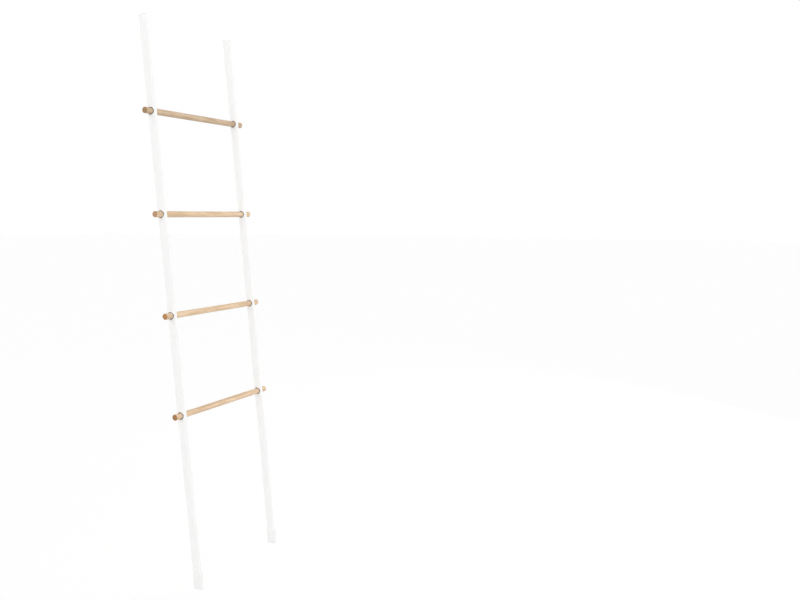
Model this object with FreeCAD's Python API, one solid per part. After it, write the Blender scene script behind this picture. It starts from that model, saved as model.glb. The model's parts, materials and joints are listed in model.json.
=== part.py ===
"""Leaning blanket ladder: two white flat-oval tube rails and four round oak rungs that pass through them.

Everything is drawn upright first, with Z along the rails, X along the rungs and the wall side at +Y.
The finished pieces are then leant back towards the wall and set on the floor.
Sizes are in millimetres. Heights are measured along a rail, from the floor.
"""
import FreeCAD, Part
import os
from math import radians, tan

V = FreeCAD.Vector
os.makedirs("parts", exist_ok=True)

# ---- the ladder as a whole
lean_deg = 5.0                # how far the rails lean back from upright
rail_spacing = 422.0          # between the two rails' centre lines
lowest_rung_height = 575.0    # floor to the lowest rung's centre line
rung_count = 4
rung_pitch = 325.0            # from rung to rung
top_overhang = 300.0          # top rung's centre line to the top of the rail

# ---- rails: flat-oval steel tube, with flat sides and round front and back edges
rail_depth = 30.0             # from the room side to the wall side
rail_width = 20.0             # along the rungs
rail_wall = 1.5

# ---- rungs: solid oak rod
rung_diameter = 20.0
rung_reach = 26.0             # how far a rung stands out past the flat side of a rail
rung_end_round = 2.0
rung_shadow_gap = 2.2         # open ring between a rung and the edge of the rail's hole

# ---- saddles: moulded blocks in the tube that carry the rungs
saddle_length = 40.0          # along the tube
saddle_end_chamfer = 1.0
saddle_clearance = 0.05       # saddle to the inside of the tube
rung_clearance = 0.05         # rung to the bore of the saddle

# ---- screws: one from the wall side into each end of each rung
screw_diameter = 4.0
screw_past_middle = 4.0       # how far the point goes beyond the rail's centre line
screw_point_length = 4.0
screw_head_diameter = 8.0
screw_head_height = 2.2
screw_head_round = 1.0
screw_recess_width = 1.0      # arms of the cross recess
screw_recess_span = 4.4
screw_recess_depth = 1.4
screw_hole_clearance = 0.15   # screw to the hole in the rail and in the saddle
screw_bite_clearance = 0.02   # screw to the bore that it cuts in the rung

# ---- plugs that close the top of the rails
plug_head_height = 3.0
plug_head_round = 1.0
plug_stem_length = 22.0
plug_stem_wall = 2.0
plug_clearance = 0.05         # stem to the inside of the tube

# ---- feet: soft caps over the bottom of the rails, cut level with the floor
foot_wall = 1.5
foot_grip = 42.0              # how far a rail goes into its foot
foot_base = 6.0               # below the end of the rail, on its centre line
foot_floor_round = 1.5
foot_lip_round = 0.7
foot_clearance = 0.02         # foot to the outside of the tube

# ---- worked out from the sizes above
rail_back = rail_depth / 2
rung_radius = rung_diameter / 2
screw_length = rail_back + screw_past_middle        # under the head
rung_length = rail_spacing + rail_width + 2 * rung_reach
rung_heights = [lowest_rung_height + i * rung_pitch for i in range(rung_count)]
ladder_length = rung_heights[-1] + top_overhang
rail_start = foot_base
rail_end = ladder_length - plug_head_height
sides = {"left": -rail_spacing / 2, "right": rail_spacing / 2}

ALONG_RUNG = V(1, 0, 0)
ALONG_RAIL = V(0, 0, 1)
TO_ROOM = V(0, -1, 0)


def oval_bar(x, bottom, length, inset=0.0):
    """A bar of the rail's flat-oval section, made smaller all round by the inset."""
    radius = rail_width / 2 - inset
    flat = (rail_depth - rail_width) / 2
    left, right, front, back = x - radius, x + radius, -flat - radius, flat + radius
    outline = Part.Wire([
        Part.LineSegment(V(left, flat, bottom), V(left, -flat, bottom)).toShape(),
        Part.Arc(V(left, -flat, bottom), V(x, front, bottom), V(right, -flat, bottom)).toShape(),
        Part.LineSegment(V(right, -flat, bottom), V(right, flat, bottom)).toShape(),
        Part.Arc(V(right, flat, bottom), V(x, back, bottom), V(left, flat, bottom)).toShape()])
    return Part.Face(outline).extrude(ALONG_RAIL * length)


def end_edges(shape, above, below):
    """The edges that lie wholly between two heights."""
    return [edge for edge in shape.Edges if edge.BoundBox.ZMin > above and edge.BoundBox.ZMax < below]


def cross_bore(x, height, radius):
    """A round bore along the rungs, right through a rail."""
    return Part.makeCylinder(radius, 2 * rail_width, V(x - rail_width, 0, height), ALONG_RUNG)


def screw_shank(x, height, clearance):
    """A screw's shank and point, grown by the clearance, driven in from the wall side."""
    radius = screw_diameter / 2 + clearance
    straight = screw_length - screw_point_length
    seat = V(x, rail_back, height)
    shank = Part.makeCylinder(radius, straight, seat, TO_ROOM)
    point = Part.makeCone(radius, 0, screw_point_length + clearance, seat + TO_ROOM * straight, TO_ROOM)
    return shank.fuse(point).removeSplitter()


def make_rail(x):
    """A tube with one cross hole and one screw hole for each rung."""
    length = rail_end - rail_start
    rail = oval_bar(x, rail_start, length).cut(oval_bar(x, rail_start, length, rail_wall))
    for height in rung_heights:
        rail = rail.cut(cross_bore(x, height, rung_radius + rung_shadow_gap))
        rail = rail.cut(screw_shank(x, height, screw_hole_clearance))
    return rail


def make_rung(height):
    """A rod with eased ends and a screw bore near each end."""
    rung = Part.makeCylinder(rung_radius, rung_length, V(-rung_length / 2, 0, height), ALONG_RUNG)
    ends = [edge for edge in rung.Edges if abs(abs(edge.CenterOfMass.x) - rung_length / 2) < 0.01]
    rung = rung.makeFillet(rung_end_round, ends)
    for x in sides.values():
        rung = rung.cut(screw_shank(x, height, screw_bite_clearance))
    return rung


def make_saddle(x, height):
    """A block that slides down the tube, bored across for the rung."""
    bottom = height - saddle_length / 2
    saddle = oval_bar(x, bottom, saddle_length, rail_wall + saddle_clearance)
    rims = end_edges(saddle, bottom - 1, height) + end_edges(saddle, height, bottom + saddle_length + 1)
    saddle = saddle.makeChamfer(saddle_end_chamfer, rims)
    saddle = saddle.cut(cross_bore(x, height, rung_radius + rung_clearance))
    return saddle.cut(screw_shank(x, height, screw_hole_clearance))


def make_screw(x, height):
    """A pan head screw with a cross recess, its head against the wall side of the rail."""
    seat = V(x, rail_back, height)
    to_wall = -TO_ROOM
    top = rail_back + screw_head_height
    head = Part.makeCylinder(screw_head_diameter / 2, screw_head_height, seat, to_wall)
    crown = [edge for edge in head.Edges if abs(edge.CenterOfMass.y - top) < 0.01]
    head = head.makeFillet(screw_head_round, crown)
    for width, tall in ((screw_recess_span, screw_recess_width), (screw_recess_width, screw_recess_span)):
        corner = V(x - width / 2, top - screw_recess_depth, height - tall / 2)
        head = head.cut(Part.makeBox(width, screw_recess_depth, tall, corner))
    return head.fuse(screw_shank(x, height, 0)).removeSplitter()


def make_top_plug(x):
    """A plug with a round-edged head flush with the tube and a hollow stem inside it."""
    head = oval_bar(x, rail_end, plug_head_height)
    head = head.makeFillet(plug_head_round, end_edges(head, rail_end + 0.01, ladder_length + 1))
    stem_foot = rail_end - plug_stem_length
    stem_inset = rail_wall + plug_clearance
    stem = oval_bar(x, stem_foot, plug_stem_length, stem_inset)
    hollow = oval_bar(x, stem_foot, plug_stem_length, stem_inset + plug_stem_wall)
    return head.fuse(stem.cut(hollow)).removeSplitter()


def make_foot(x):
    """A cap over the end of the tube, whose underside lies level once the ladder leans."""
    grown = foot_clearance + foot_wall
    half_depth = rail_back + grown
    drop = half_depth * tan(radians(lean_deg))
    lip_height = foot_base + foot_grip
    foot = oval_bar(x, -2 * drop, lip_height + 2 * drop, -grown)
    below_floor = Part.makeBox(4 * half_depth, 4 * half_depth, 4 * half_depth,
                               V(x - 2 * half_depth, -2 * half_depth, -4 * half_depth))
    below_floor.rotate(V(0, 0, 0), ALONG_RUNG, lean_deg)
    foot = foot.cut(below_floor)
    foot = foot.makeFillet(foot_floor_round, end_edges(foot, -2 * drop, foot_base))
    foot = foot.makeFillet(foot_lip_round, end_edges(foot, foot_base, lip_height + 1))
    return foot.cut(oval_bar(x, rail_start, foot_grip, -foot_clearance))


# ---- every piece, upright
pieces = {}
for side, x in sides.items():
    pieces[f"{side}_rail"] = make_rail(x)
    pieces[f"{side}_foot"] = make_foot(x)
    pieces[f"{side}_top_plug"] = make_top_plug(x)
    pieces[f"{side}_rung_screws"] = Part.makeCompound([make_screw(x, height) for height in rung_heights])
    for number, height in enumerate(rung_heights, start=1):
        pieces[f"{side}_rung_saddle_{number}"] = make_saddle(x, height)
for number, height in enumerate(rung_heights, start=1):
    pieces[f"rung_{number}"] = make_rung(height)

# ---- leant back, with the origin on the floor under the middle of the ladder's whole outline
for piece in pieces.values():
    piece.rotate(V(0, 0, 0), ALONG_RUNG, -lean_deg)
outline = Part.makeCompound([pieces[f"{side}_{end}"] for side in sides for end in ("foot", "top_plug")])
box = outline.optimalBoundingBox(False, False)
to_middle = V(0, -(box.YMin + box.YMax) / 2, 0)
for name, piece in pieces.items():
    piece.translate(to_middle)
    piece.exportStep(f"parts/{name}.step")
print("moved to the middle by", round(to_middle.y, 4), "pieces", len(pieces))
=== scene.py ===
"""Looks of the leaning blanket ladder: white flat-oval tube rails, oak rungs through them, soft feet."""
import json
from math import pi, radians

import bmesh
import bpy
from mathutils import Matrix, Vector


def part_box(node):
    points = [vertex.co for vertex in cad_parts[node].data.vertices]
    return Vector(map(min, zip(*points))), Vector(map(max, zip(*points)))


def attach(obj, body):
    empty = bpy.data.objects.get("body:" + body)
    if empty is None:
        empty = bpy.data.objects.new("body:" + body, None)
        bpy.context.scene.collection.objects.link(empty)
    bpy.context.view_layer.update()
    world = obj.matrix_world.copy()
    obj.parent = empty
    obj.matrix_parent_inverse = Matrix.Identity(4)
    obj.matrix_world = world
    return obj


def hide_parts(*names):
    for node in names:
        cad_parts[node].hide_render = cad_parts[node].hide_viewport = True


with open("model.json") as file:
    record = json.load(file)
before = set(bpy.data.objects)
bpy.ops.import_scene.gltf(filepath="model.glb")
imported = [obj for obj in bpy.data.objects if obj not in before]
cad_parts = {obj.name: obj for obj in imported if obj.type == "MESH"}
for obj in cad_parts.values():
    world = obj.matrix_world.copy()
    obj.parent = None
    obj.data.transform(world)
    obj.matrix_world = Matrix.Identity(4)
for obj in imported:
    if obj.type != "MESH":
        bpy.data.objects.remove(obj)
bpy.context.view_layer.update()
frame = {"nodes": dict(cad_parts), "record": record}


# ---- Rails
# Two flat-oval steel tubes with a white satin powder coat, bored across for the four rungs: flat on the
# sides that the rungs go through, round at the front and the back. Each rim is deburred under the coat.
# The tubes are drawn upright, with Z along them, and then leant back towards the wall.
lean = radians(5.0)
rests = {mount["name"]: Vector(mount["pos_m"]) for mount in frame["record"]["mounts"]}
rail_places = {side: rests[f"{side}_floor_rest"].x for side in ("left", "right")}
foot_line = rests["left_floor_rest"].y          # where the rails' centre lines meet the floor
leant_back = Matrix.Translation((0, foot_line, 0)) @ Matrix.Rotation(-lean, 4, "X")
lowest_rung, rung_pitch = 0.575, 0.325          # along a rail, the lowest from the floor
rung_heights = [lowest_rung + i * rung_pitch for i in range(4)]
rail_back = 0.015             # from a tube's middle to its front or back
rail_edge_radius = 0.010      # of the round front and back
rail_wall = 0.0015
rail_start, rail_end = 0.006, 1.847
rung_hole_radius = 0.0122
screw_hole_radius = 0.00215
rung_drill_length, screw_drill_length = 0.05, 0.008
rim_round = 0.00035
band = 0.0165                 # the tube has an edge loop this far above and below each rung
tube_facets, rung_hole_facets, screw_hole_facets = 120, 112, 32


def finished(bm, name, angle=35.0):
    """A piece from its bmesh: doubles merged, faces outwards, smooth but for its sharp edges."""
    bmesh.ops.remove_doubles(bm, verts=bm.verts, dist=1e-6)
    bmesh.ops.recalc_face_normals(bm, faces=bm.faces)
    mesh = bpy.data.meshes.new(name)
    bm.to_mesh(mesh)
    bm.free()
    mesh.shade_smooth()
    mesh.set_sharp_from_angle(angle=radians(angle))
    piece = bpy.data.objects.new(name, mesh)
    bpy.context.scene.collection.objects.link(piece)
    return piece


def turned(bm, outline, axis, steps):
    """A closed outline of points, spun a full turn about an axis through the origin."""
    points = [bm.verts.new(point) for point in outline]
    edges = [bm.edges.new((a, b)) for a, b in zip(points, points[1:] + points[:1])]
    bmesh.ops.spin(bm, geom=points + edges, cent=(0, 0, 0), axis=axis, angle=2 * pi,
                   steps=steps, use_merge=True, use_duplicate=False)


def round_rims(bm, rims, size, segments):
    """The given edges rounded over."""
    bmesh.ops.bevel(bm, geom=rims, offset=size, offset_type="OFFSET", segments=segments,
                    profile=0.5, affect="EDGES", material=-1, clamp_overlap=True)


def plain_tube():
    """The tube before boring, with rounded ends.

    It is spun as a round tube, whose front and back halves are then moved apart.
    """
    loops = [rail_start] + [h + d for h in rung_heights for d in (-band, band)] + [rail_end]
    outside = [(rail_edge_radius, 0, z) for z in loops]
    inside = [(rail_edge_radius - rail_wall, 0, z) for z in reversed(loops)]
    bm = bmesh.new()
    turned(bm, outside + inside, (0, 0, 1), tube_facets)
    bmesh.ops.remove_doubles(bm, verts=bm.verts, dist=1e-6)
    # half a facet's turn puts a facet, not a corner, where each flat side opens
    bmesh.ops.rotate(bm, verts=bm.verts, cent=(0, 0, 0), matrix=Matrix.Rotation(pi / tube_facets, 3, "Z"))
    for towards in (-1, 1):
        half = [v for v in bm.verts if v.co.y * towards > 0]
        bmesh.ops.translate(bm, verts=half, vec=(0, towards * (rail_back - rail_edge_radius), 0))
    bmesh.ops.recalc_face_normals(bm, faces=bm.faces)
    ends = [e for e in bm.edges if e.calc_face_angle(0) > radians(60)]
    round_rims(bm, ends, rim_round, segments=3)
    return finished(bm, "plain_tube")


def drills():
    """Every cutter that goes through one tube: one along each rung, one from the wall side."""
    bm = bmesh.new()
    for height in rung_heights:
        along_rung = Matrix.Translation((0, 0, height)) @ Matrix.Rotation(pi / 2, 4, "Y")
        bmesh.ops.create_cone(bm, cap_ends=True, segments=rung_hole_facets, radius1=rung_hole_radius,
                              radius2=rung_hole_radius, depth=rung_drill_length, matrix=along_rung)
        from_wall = Matrix.Translation((0, rail_back, height)) @ Matrix.Rotation(pi / 2, 4, "X")
        bmesh.ops.create_cone(bm, cap_ends=True, segments=screw_hole_facets, radius1=screw_hole_radius,
                              radius2=screw_hole_radius, depth=screw_drill_length, matrix=from_wall)
    return finished(bm, "drills")


def bored_tube():
    """One tube with its holes, as a mesh with deburred rims."""
    tube, cutters = plain_tube(), drills()
    bore = tube.modifiers.new("bore", "BOOLEAN")
    bore.operation, bore.solver, bore.object = "DIFFERENCE", "EXACT", cutters
    bpy.context.view_layer.update()
    bored = tube.evaluated_get(bpy.context.evaluated_depsgraph_get())
    bm = bmesh.new()
    bm.from_mesh(bored.to_mesh())
    bored.to_mesh_clear()
    for tool in (tube, cutters):
        bpy.data.objects.remove(tool)
    # the cutting leaves slivers along the rims, too short to bevel
    bmesh.ops.remove_doubles(bm, verts=bm.verts, dist=0.00004)
    bmesh.ops.dissolve_degenerate(bm, edges=bm.edges, dist=0.00001)
    rims = [e for e in bm.edges if e.calc_face_angle(0) > radians(30)
            and rail_start + band < e.verts[0].co.z < rail_end - band]
    round_rims(bm, rims, rim_round, segments=2)
    return bm


rails = {}
for side, x in rail_places.items():
    bm = bored_tube()
    bm.transform(leant_back @ Matrix.Translation((x, 0, 0)))
    rail = rails[side] = finished(bm, f"{side}_rail_tube")
    fair = rail.modifiers.new("fair_shading", "WEIGHTED_NORMAL")
    fair.keep_sharp = True
    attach(rail, "root")
    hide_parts(f"{side}_rail")


def material(name):
    """An empty material: its nodes, its links and its Principled shader."""
    made = bpy.data.materials.new(name)
    made.use_nodes = True
    nodes, links = made.node_tree.nodes, made.node_tree.links
    return made, nodes, links, nodes["Principled BSDF"]


def surface_group():
    """Fine unevenness that every coated or moulded surface here has.

    Mottle is a slow drift in tone, Sheen a slow drift in gloss, Height a fine pebbled skin.
    """
    group = bpy.data.node_groups.new("moulded_or_coated_skin", "ShaderNodeTree")
    group.interface.new_socket("Pebble Scale", in_out="INPUT", socket_type="NodeSocketFloat")
    group.interface.new_socket("Mottle", in_out="OUTPUT", socket_type="NodeSocketFloat")
    group.interface.new_socket("Sheen", in_out="OUTPUT", socket_type="NodeSocketFloat")
    group.interface.new_socket("Height", in_out="OUTPUT", socket_type="NodeSocketFloat")
    nodes, links = group.nodes, group.links
    inlet, outlet = nodes.new("NodeGroupInput"), nodes.new("NodeGroupOutput")
    place = nodes.new("ShaderNodeTexCoord").outputs["Object"]
    mottle = nodes.new("ShaderNodeTexNoise")
    mottle.inputs["Scale"].default_value = 9.0
    mottle.inputs["Detail"].default_value = 3.0
    sheen = nodes.new("ShaderNodeTexNoise")
    sheen.inputs["Scale"].default_value = 55.0
    sheen.inputs["Detail"].default_value = 4.0
    pebble = nodes.new("ShaderNodeTexNoise")
    pebble.inputs["Detail"].default_value = 2.0
    links.new(inlet.outputs["Pebble Scale"], pebble.inputs["Scale"])
    for noise, outcome in ((mottle, "Mottle"), (sheen, "Sheen"), (pebble, "Height")):
        links.new(place, noise.inputs["Vector"])
        links.new(noise.outputs["Fac"], outlet.inputs[outcome])
    return group


skin = surface_group()


def coat(name, light, dark, smooth, rough, pebble_scale, pebble_depth):
    """A coated or moulded finish: tone and gloss drift between two values over a pebbled skin."""
    made, nodes, links, shader = material(name)
    uneven = nodes.new("ShaderNodeGroup")
    uneven.node_tree = skin
    uneven.inputs["Pebble Scale"].default_value = pebble_scale
    tone = nodes.new("ShaderNodeMix")
    tone.data_type = "RGBA"
    tone.inputs["A"].default_value = (*dark, 1)
    tone.inputs["B"].default_value = (*light, 1)
    links.new(uneven.outputs["Mottle"], tone.inputs["Factor"])
    links.new(tone.outputs["Result"], shader.inputs["Base Color"])
    gloss = nodes.new("ShaderNodeMapRange")
    gloss.inputs["From Min"].default_value = 0.3
    gloss.inputs["From Max"].default_value = 0.7
    gloss.inputs["To Min"].default_value = smooth
    gloss.inputs["To Max"].default_value = rough
    links.new(uneven.outputs["Sheen"], gloss.inputs["Value"])
    links.new(gloss.outputs["Result"], shader.inputs["Roughness"])
    bump = nodes.new("ShaderNodeBump")
    bump.inputs["Strength"].default_value = 1.0
    bump.inputs["Distance"].default_value = pebble_depth
    links.new(uneven.outputs["Height"], bump.inputs["Height"])
    links.new(bump.outputs["Normal"], shader.inputs["Normal"])
    return made


powder_coat = coat("white_powder_coat", light=(0.933, 0.932, 0.926), dark=(0.913, 0.912, 0.906),
                   smooth=0.36, rough=0.46, pebble_scale=900, pebble_depth=0.00002)
for rail in rails.values():
    rail.data.materials.append(powder_coat)


# ---- Feet
# Soft moulded caps pushed over the lower ends of the tubes, cut level so that they lie flat on the floor.
# They are a touch greyer than the coat and quite matt, with the fine spark-eroded skin of a mould.
def dress(node, finish):
    """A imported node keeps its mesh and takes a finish."""
    piece = frame["nodes"][node]
    piece.data.materials.clear()
    piece.data.materials.append(finish)
    return piece


foot_rubber = coat("pale_foot_rubber", light=(0.912, 0.912, 0.904), dark=(0.892, 0.892, 0.884),
                   smooth=0.62, rough=0.74, pebble_scale=1600, pebble_depth=0.00003)
for side in rail_places:
    dress(f"{side}_foot", foot_rubber)


# ---- Top plugs
# Hard white plastic plugs that close the open upper ends of the tubes. Each is moulded in one piece: a
# hollow stem that is pressed into the tube, and a round-edged head that lies flush with its outside.
plug_plastic = coat("white_plug_plastic", light=(0.915, 0.915, 0.907), dark=(0.895, 0.895, 0.887),
                    smooth=0.40, rough=0.52, pebble_scale=1400, pebble_depth=0.00002)
for side in rail_places:
    dress(f"{side}_top_plug", plug_plastic)


# ---- Saddles
# Moulded black nylon blocks that slide down inside the tubes and carry the rungs in their bores.
# Only a thin dark ring of each shows, in the gap between a rung and its hole. Their near-black brown is
# partly painted shade.
# the near-black brown is partly the nylon's own colour and partly painted shade, which darkens the gap ring
# around each rung as a shadow would
nylon_and_gap_shade = coat("black_nylon_with_gap_shade", light=(0.052, 0.036, 0.024), dark=(0.036, 0.025, 0.017),
                    smooth=0.55, rough=0.70, pebble_scale=1500, pebble_depth=0.00003)
for side in rail_places:
    for number in range(1, len(rung_heights) + 1):
        dress(f"{side}_rung_saddle_{number}", nylon_and_gap_shade)


# ---- Rungs
# Round rods turned from solid pale oak and clear lacquered matt, with softly rounded ends.
# They go through both rails and stand out past them, so their darker end grain shows.
rung_radius = 0.010
rung_half_length = 0.247
rung_end_round = 0.002
rung_loops = 24               # lengths that a rod's mesh is divided into
rung_facets = 96


def oak_rod(centre, number):
    """One rod along X, closed at both ends, its middle at the centre."""
    bm = bmesh.new()
    xs = [rung_half_length * (2 * i / rung_loops - 1) for i in range(rung_loops + 1)]
    line = [bm.verts.new((x, 0, rung_radius)) for x in xs]
    line = [bm.verts.new((xs[0], 0, 0))] + line + [bm.verts.new((xs[-1], 0, 0))]
    edges = [bm.edges.new(pair) for pair in zip(line, line[1:])]
    bmesh.ops.spin(bm, geom=line + edges, cent=(0, 0, 0), axis=(1, 0, 0), angle=2 * pi,
                   steps=rung_facets, use_merge=True, use_duplicate=False)
    bmesh.ops.remove_doubles(bm, verts=bm.verts, dist=1e-6)
    bmesh.ops.recalc_face_normals(bm, faces=bm.faces)
    rims = [e for e in bm.edges if e.calc_face_angle(0) > radians(60)]
    round_rims(bm, rims, rung_end_round, segments=6)
    bm.transform(Matrix.Translation(centre))
    return finished(bm, f"rung_{number}_rod", angle=60.0)


def oak_group():
    """Figure of oak sawn along the grain. Place is measured from the pith, with X along the grain.

    Rings are the dark late wood of each year, Streaks the darker fibres, Pores the open vessels,
    Drift the slow change in tone and Height the relief of the grain.
    """
    group = bpy.data.node_groups.new("oak_figure", "ShaderNodeTree")
    group.interface.new_socket("Place", in_out="INPUT", socket_type="NodeSocketVector")
    group.interface.new_socket("Ring Width", in_out="INPUT", socket_type="NodeSocketFloat")
    for outcome in ("Rings", "Streaks", "Pores", "Drift", "Height"):
        group.interface.new_socket(outcome, in_out="OUTPUT", socket_type="NodeSocketFloat")
    nodes, links = group.nodes, group.links
    inlet, outlet = nodes.new("NodeGroupInput"), nodes.new("NodeGroupOutput")

    def stretched_noise(scale, stretch, detail):
        """Noise drawn out along the grain: the scale is across it, stretch how much longer along it."""
        along = nodes.new("ShaderNodeVectorMath")
        along.operation = "MULTIPLY"
        along.inputs[1].default_value = (1 / stretch, 1, 1)
        links.new(inlet.outputs["Place"], along.inputs[0])
        noise = nodes.new("ShaderNodeTexNoise")
        noise.inputs["Scale"].default_value = scale
        noise.inputs["Detail"].default_value = detail
        links.new(along.outputs[0], noise.inputs["Vector"])
        return noise.outputs["Fac"]

    def worked(operation, a, b):
        """One step of arithmetic on two sockets or plain numbers."""
        node = nodes.new("ShaderNodeMath")
        node.operation = operation
        for socket, value in zip(node.inputs, (a, b)):
            if isinstance(value, (int, float)):
                socket.default_value = value
            else:
                links.new(value, socket)
        return node.outputs[0]

    def band_of(value, low, high):
        """0 below low, 1 above high, smooth between."""
        node = nodes.new("ShaderNodeMapRange")
        node.interpolation_type = "SMOOTHSTEP"
        node.inputs["From Min"].default_value = low
        node.inputs["From Max"].default_value = high
        links.new(value, node.inputs["Value"])
        return node.outputs["Result"]

    # growth rings: distance from the pith, a little uneven, in ring widths
    parts = nodes.new("ShaderNodeSeparateXYZ")
    links.new(inlet.outputs["Place"], parts.inputs[0])
    across = nodes.new("ShaderNodeCombineXYZ")
    links.new(parts.outputs["Y"], across.inputs["Y"])
    links.new(parts.outputs["Z"], across.inputs["Z"])
    distance = nodes.new("ShaderNodeVectorMath")
    distance.operation = "LENGTH"
    links.new(across.outputs[0], distance.inputs[0])
    wander = worked("MULTIPLY", worked("SUBTRACT", stretched_noise(55, 12, 3), 0.5), 0.012)
    uneven_distance = worked("ADD", distance.outputs["Value"], wander)
    years = worked("DIVIDE", uneven_distance, inlet.outputs["Ring Width"])
    growth = worked("FRACT", years, 0)
    year_end = band_of(worked("SUBTRACT", 1, growth), 0.0, 0.05)
    rings = worked("MULTIPLY", band_of(growth, 0.30, 0.95), year_end)
    links.new(rings, outlet.inputs["Rings"])

    # open pores: short dark dashes along the grain, most of them in the early wood of each ring
    fine = band_of(stretched_noise(1500, 40, 2), 0.54, 0.70)
    early = worked("ADD", 0.35, worked("MULTIPLY", worked("SUBTRACT", 1, rings), 0.65))
    pores = worked("MULTIPLY", fine, early)
    links.new(pores, outlet.inputs["Pores"])

    # darker fibres a few centimetres long, and the slow drift in tone down the rod
    links.new(band_of(stretched_noise(420, 24, 3), 0.50, 0.72), outlet.inputs["Streaks"])
    links.new(band_of(stretched_noise(95, 9, 2), 0.36, 0.64), outlet.inputs["Drift"])
    height = worked("SUBTRACT", worked("MULTIPLY", rings, 0.25), pores)
    links.new(height, outlet.inputs["Height"])
    return group


oak_figure = oak_group()


def oak(number, pith, ring_width, depth, end_light, end_dark):
    """Clear lacquered oak for one rung.

    The pith is where the middle of the log was. The depth of tone is 1 for the palest oak, less for darker.
    """
    made, nodes, links, shader = material(f"natural_oak_rung_{number}")
    coordinates = nodes.new("ShaderNodeTexCoord")
    from_pith = nodes.new("ShaderNodeMapping")
    from_pith.inputs["Location"].default_value = -Vector(pith)
    links.new(coordinates.outputs["Object"], from_pith.inputs["Vector"])
    figure = nodes.new("ShaderNodeGroup")
    figure.node_tree = oak_figure
    figure.inputs["Ring Width"].default_value = ring_width
    links.new(from_pith.outputs["Vector"], figure.inputs["Place"])

    def blend(factor, a, b):
        node = nodes.new("ShaderNodeMix")
        node.data_type = "RGBA"
        for name, value in (("Factor", factor), ("A", a), ("B", b)):
            if isinstance(value, tuple):
                node.inputs[name].default_value = (*value, 1)
            else:
                links.new(value, node.inputs[name])
        return node.outputs["Result"]

    def scaled(value, factor):
        node = nodes.new("ShaderNodeMath")
        node.operation = "MULTIPLY"
        node.inputs[1].default_value = factor
        links.new(value, node.inputs[0])
        return node.outputs[0]

    def toned(*colour):
        return tuple(depth * channel for channel in colour)

    # the side of the rod
    side = blend(figure.outputs["Drift"], toned(0.72, 0.505, 0.325), toned(0.88, 0.67, 0.46))
    side = blend(scaled(figure.outputs["Rings"], 0.40), side, toned(0.62, 0.42, 0.24))
    side = blend(scaled(figure.outputs["Streaks"], 0.50), side, toned(0.56, 0.365, 0.20))
    side = blend(scaled(figure.outputs["Pores"], 0.50), side, toned(0.44, 0.275, 0.145))
    # the sawn end, where lacquer sinks in and darkens the wood
    end = blend(figure.outputs["Rings"], end_light, end_dark)
    end = blend(scaled(figure.outputs["Pores"], 0.5), end, (0.25, 0.125, 0.045))
    facing = nodes.new("ShaderNodeSeparateXYZ")
    links.new(coordinates.outputs["Normal"], facing.inputs[0])
    squareness = nodes.new("ShaderNodeMath")
    squareness.operation = "ABSOLUTE"
    links.new(facing.outputs["X"], squareness.inputs[0])
    on_end = nodes.new("ShaderNodeMapRange")
    on_end.interpolation_type = "SMOOTHSTEP"
    on_end.inputs["From Min"].default_value = 0.25
    on_end.inputs["From Max"].default_value = 0.85
    links.new(squareness.outputs[0], on_end.inputs["Value"])
    links.new(blend(on_end.outputs["Result"], side, end), shader.inputs["Base Color"])

    gloss = nodes.new("ShaderNodeMapRange")
    gloss.inputs["To Min"].default_value = 0.42
    gloss.inputs["To Max"].default_value = 0.62
    links.new(figure.outputs["Pores"], gloss.inputs["Value"])
    links.new(gloss.outputs["Result"], shader.inputs["Roughness"])
    grain = nodes.new("ShaderNodeBump")
    grain.inputs["Strength"].default_value = 1.0
    grain.inputs["Distance"].default_value = 0.00006
    links.new(figure.outputs["Height"], grain.inputs["Height"])
    links.new(grain.outputs["Normal"], shader.inputs["Normal"])
    shader.inputs["Specular IOR Level"].default_value = 0.3
    return made


# where each rod's pith was, from the rod's own centre, how wide its rings are, its depth of tone,
# and the tones of its early and late wood on the sawn ends
logs = [((0.3, 0.021, -0.034), 0.0022, 1.00, (0.42, 0.21, 0.078), (0.30, 0.145, 0.048)),
        ((-0.9, -0.042, -0.012), 0.0019, 1.00, (0.52, 0.255, 0.095), (0.39, 0.185, 0.062)),
        ((1.4, 0.015, 0.046), 0.0024, 0.97, (0.53, 0.315, 0.175), (0.40, 0.225, 0.120)),
        ((-2.2, -0.030, 0.028), 0.0020, 0.78, (0.40, 0.245, 0.120), (0.30, 0.18, 0.085))]
for number, (pith, ring_width, depth, end_light, end_dark) in enumerate(logs, start=1):
    low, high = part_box(f"rung_{number}")
    centre = (low + high) / 2
    rod = oak_rod(centre, number)
    rod.data.materials.append(oak(number, centre + Vector(pith), ring_width, depth, end_light, end_dark))
    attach(rod, "root")
    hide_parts(f"rung_{number}")


# ---- Screws
# Zinc plated steel screws with pan heads and a cross recess, one from the wall side into each end of each
# rung. They go through rail and saddle, and keep the rung from turning or sliding out.
zinc, nodes, links, shader = material("zinc_plated_screw")
shader.inputs["Metallic"].default_value = 1.0
plating = nodes.new("ShaderNodeGroup")
plating.node_tree = skin
plating.inputs["Pebble Scale"].default_value = 2500
tone = nodes.new("ShaderNodeMix")
tone.data_type = "RGBA"
tone.inputs["A"].default_value = (0.58, 0.59, 0.61, 1)
tone.inputs["B"].default_value = (0.72, 0.73, 0.74, 1)
links.new(plating.outputs["Sheen"], tone.inputs["Factor"])
links.new(tone.outputs["Result"], shader.inputs["Base Color"])
dull = nodes.new("ShaderNodeMapRange")
dull.inputs["To Min"].default_value = 0.24
dull.inputs["To Max"].default_value = 0.44
links.new(plating.outputs["Mottle"], dull.inputs["Value"])
links.new(dull.outputs["Result"], shader.inputs["Roughness"])
for side in rail_places:
    dress(f"{side}_rung_screws", zinc)


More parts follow.
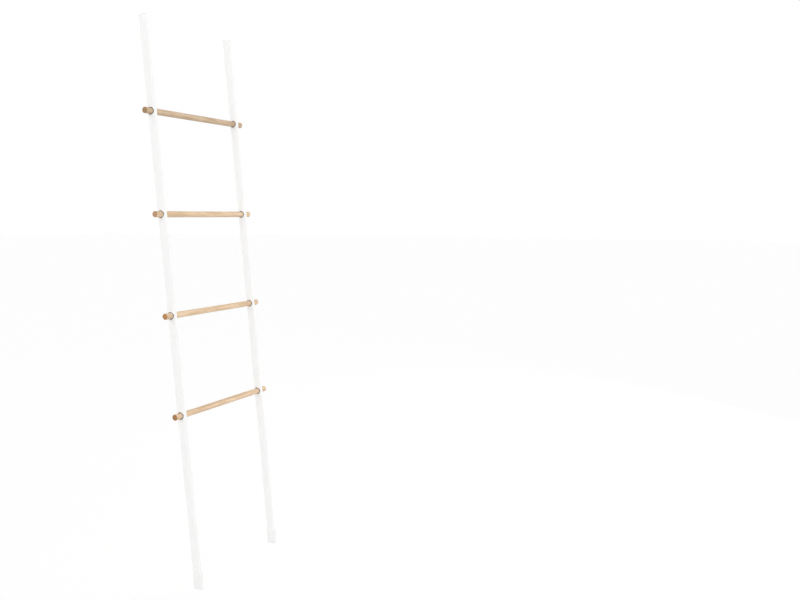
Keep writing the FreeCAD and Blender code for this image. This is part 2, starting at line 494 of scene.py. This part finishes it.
# ---- Floor, light and camera
# A plain white studio, which isn't part of the ladder: a pale floor that reads as white to the camera but
# keeps the ladder's shadow, light that comes mostly from low all round, and one soft lamp at the side.
def seen_or_mirrored(nodes, links):
    """1 for what the camera sees, also in a mirror or through glass, and 0 for the light on the ladder."""
    rays = nodes.new("ShaderNodeLightPath")
    seen = rays.outputs["Is Camera Ray"]
    for ray in ("Is Glossy Ray", "Is Transmission Ray"):
        either = nodes.new("ShaderNodeMath")
        either.operation = "MAXIMUM"
        links.new(seen, either.inputs[0])
        links.new(rays.outputs[ray], either.inputs[1])
        seen = either.outputs[0]
    return seen


floor_reach = 40.0            # so wide that its far edge meets the white background at eye level
floor_grey = 0.70
floor_glow = 0.39             # what the lit floor lacks of white
horizon_light, overhead_light = 1.81, 0.16
floor_mesh = bpy.data.meshes.new("studio_floor")
bm = bmesh.new()
bmesh.ops.create_grid(bm, x_segments=1, y_segments=1, size=floor_reach)
bm.to_mesh(floor_mesh)
bm.free()
floor = bpy.data.objects.new("studio_floor", floor_mesh)
bpy.context.scene.collection.objects.link(floor)
floor_paint, nodes, links, shader = material("studio_floor_paint")
shader.inputs["Base Color"].default_value = (floor_grey, floor_grey, floor_grey, 1)
shader.inputs["Roughness"].default_value = 0.9
shader.inputs["Specular IOR Level"].default_value = 0.0
glow = nodes.new("ShaderNodeEmission")
links.new(seen_or_mirrored(nodes, links), glow.inputs["Strength"])
glow.inputs["Color"].default_value = (floor_glow, floor_glow, floor_glow, 1)
both = nodes.new("ShaderNodeAddShader")
links.new(shader.outputs[0], both.inputs[0])
links.new(glow.outputs[0], both.inputs[1])
links.new(both.outputs[0], nodes["Material Output"].inputs["Surface"])
floor.data.materials.append(floor_paint)

# the room is brighter near the horizon than overhead, and plain white where it is seen or mirrored
world = bpy.data.worlds.new("white_studio")
bpy.context.scene.world = world
world.use_nodes = True
nodes, links = world.node_tree.nodes, world.node_tree.links
room = nodes["Background"]
room.inputs["Color"].default_value = (1, 1, 1, 1)
direction = nodes.new("ShaderNodeTexCoord")
height = nodes.new("ShaderNodeSeparateXYZ")
links.new(direction.outputs["Generated"], height.inputs[0])
falloff = nodes.new("ShaderNodeMapRange")
falloff.interpolation_type = "SMOOTHSTEP"
falloff.inputs["From Min"].default_value = 0.25
falloff.inputs["From Max"].default_value = 1.0
falloff.inputs["To Min"].default_value = horizon_light
falloff.inputs["To Max"].default_value = overhead_light
links.new(height.outputs["Z"], falloff.inputs["Value"])
links.new(falloff.outputs["Result"], room.inputs["Strength"])
sweep = nodes.new("ShaderNodeBackground")
sweep.inputs["Color"].default_value = (1, 1, 1, 1)
sweep.inputs["Strength"].default_value = 1.0
choice = nodes.new("ShaderNodeMixShader")
links.new(seen_or_mirrored(nodes, links), choice.inputs["Fac"])
links.new(room.outputs[0], choice.inputs[1])
links.new(sweep.outputs[0], choice.inputs[2])
links.new(choice.outputs[0], nodes["World Output"].inputs["Surface"])


def softbox(name, place, target, size, power):
    """A square lamp that faces the target."""
    lamp = bpy.data.lights.new(name, "AREA")
    lamp.shape, lamp.size, lamp.energy = "SQUARE", size, power
    stand = bpy.data.objects.new(name, lamp)
    bpy.context.scene.collection.objects.link(stand)
    stand.location = place
    stand.rotation_euler = (Vector(target) - Vector(place)).to_track_quat("-Z", "Y").to_euler()


softbox("side_softbox", (2.9, -2.0, 1.0), (0, 0, 0.8), 1.6, 10)

# the photograph's viewpoint: from the room, left of the ladder, looking slightly down
camera = bpy.data.objects.new("camera", bpy.data.cameras.new("camera"))
bpy.context.scene.collection.objects.link(camera)
camera.location = (-2.2446, -1.7765, 1.2158)
camera.rotation_euler = (radians(90 - 5.909), 0, radians(-64.587))
camera.data.sensor_width = 36.0
camera.data.lens = 36.69
bpy.context.scene.camera = camera
bpy.context.scene.view_settings.view_transform = "Standard"
